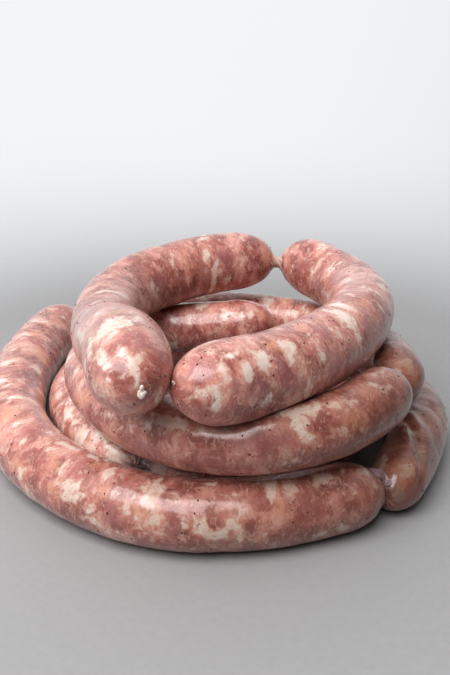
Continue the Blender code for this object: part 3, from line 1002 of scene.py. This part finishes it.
def footprint_shift(links):
    """Find the shift that puts the coil where the CAD model stands."""
    low = np.min([(link.centres - link.spheres[:, None]).min(axis=0) for link in links.values()], axis=0)
    high = np.max([(link.centres + link.spheres[:, None]).max(axis=0) for link in links.values()], axis=0)
    shift = np.array(cad_bounds).sum(axis=0) / 2 / METRES - (low + high) / 2
    shift[2] = 0.0
    return shift


def build_links(links, shift):
    """Make the links, and give their skins and hubs for the pepper."""
    surfaces = {}
    meat = meat_look()
    for name, link in links.items():
        points, hubs, fields = link_surface(link, [other for other in links.values() if other is not link])
        faces = tube_faces((len(points) - 2) // SIDES, SIDES)
        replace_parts(mesh_piece(name + "_meat", points + shift, faces, meat, fields), name)
        surfaces[name] = points, hubs
    return surfaces


def build_twists(links, shift):
    """Make the twists of casing that join one link to the next."""
    gathered = casing_look("gathered_casing", *GATHERED)
    drawn = casing_look("drawn_casing", *DRAWN)
    faces = tube_faces(TWIST_RINGS, TWIST_SIDES)
    for name, (first, first_end, second, second_end, rise, radius) in TWISTS.items():
        look = drawn if name == "top_twist" else gathered
        points = twist_surface(links[first], first_end, links[second], second_end, rise, radius)
        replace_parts(mesh_piece(name + "_casing", points + shift, faces, look), name)


def build_knots(links, shift):
    """Make the tufts of tied casing at the free ends."""
    clear = casing_look("clear_casing", *CLEAR)
    faces = tube_faces(KNOT_ROWS, KNOT_SIDES)
    for name, (link, end, distance, way, size, lobes) in KNOTS.items():
        middle, heading = knot_place(links[link], end, distance, way)
        points = knot_surface(middle, heading, lobes, size)
        mesh_piece(name, points + shift, faces, clear)


def build_string():
    """Make the links, the twists between them, the tied ends and the pepper."""
    links = {name: Link(name, *shape) for name, shape in LINKS.items()}
    shift = footprint_shift(links)
    surfaces = build_links(links, shift)
    build_twists(links, shift)
    build_knots(links, shift)
    points, faces = pepper_specks(surfaces)
    mesh_piece("pepper", points + shift, faces, pepper_look())


def floor_look():
    """Pale paint that gives way to the backdrop far behind the object."""
    made = Nodes(bpy.data.materials.new("floor_paint"))
    place = made.node("TexCoord").outputs["Object"]
    dark, light = (FLOOR_SHADE * (1 + change) for change in (-FLOOR_SPECK, FLOOR_SPECK))
    paint = made.ramp(made.noise(place, 0.003, 2.0), ((0.3, (dark,) * 3), (0.7, (light,) * 3)))
    distance = made.node("VectorMath", {0: place}, operation="LENGTH").outputs["Value"]
    nearness = made.math("DIVIDE", 1.0, distance)
    solid = made.step(1 / FLOOR_FADE[1], 1 / FLOOR_FADE[0], nearness)
    return made.finish(Base_Color=paint, Roughness=0.6, Alpha=solid)


def make_floor():
    bpy.ops.mesh.primitive_circle_add(vertices=64, radius=FLOOR_RADIUS, fill_type="NGON")
    floor = bpy.context.object
    floor.name = "floor"
    floor.data.materials.append(floor_look())


def make_backdrop():
    """A soft studio backdrop, brightest behind the object and to its left."""
    made = Nodes(bpy.data.worlds.new("studio"))
    heading = made.node("TexCoord").outputs["Generated"]
    facing = made.node("VectorMath", {0: heading, 1: SKY_SIDE}, operation="DOT_PRODUCT").outputs["Value"]
    inputs = dict(enumerate((facing, *SKY_FADE, *SKY_STRENGTH)))
    fade = made.node("MapRange", inputs, interpolation_type="SMOOTHSTEP").outputs[0]
    bpy.context.scene.world = made.finish("Background", Color=SKY_COLOUR, Strength=fade)


def make_key_light():
    """One large soft lamp, aimed at the middle of the coil's footprint."""
    key = bpy.data.lights.new("key", "AREA")
    key.shape = "RECTANGLE"
    key.size, key.size_y = KEY_SIZE
    key.energy = KEY_POWER
    key.color = KEY_COLOUR
    side, rise = math.radians(KEY_SIDE), math.radians(KEY_RISE)
    level = KEY_DISTANCE * math.cos(rise)
    place = -level * math.sin(side), -level * math.cos(side), KEY_DISTANCE * math.sin(rise)
    add_object("key", key, place, (math.pi / 2 - rise, 0, -side))


def make_camera():
    camera = bpy.data.cameras.new("camera")
    camera.sensor_fit = "VERTICAL"
    camera.sensor_height = SENSOR_HEIGHT
    camera.lens = LENS
    camera.clip_start, camera.clip_end = CAMERA_CLIP
    place = [value * METRES for value in CAMERA_PLACE]
    eye = add_object("camera", camera, place, (math.radians(90 - CAMERA_TILT), 0, 0))
    scene = bpy.context.scene
    scene.camera = eye
    scene.view_settings.view_transform = "Standard"
    scene.view_settings.look = "Medium High Contrast"


make_floor()
make_backdrop()
make_key_light()
make_camera()
build_string()
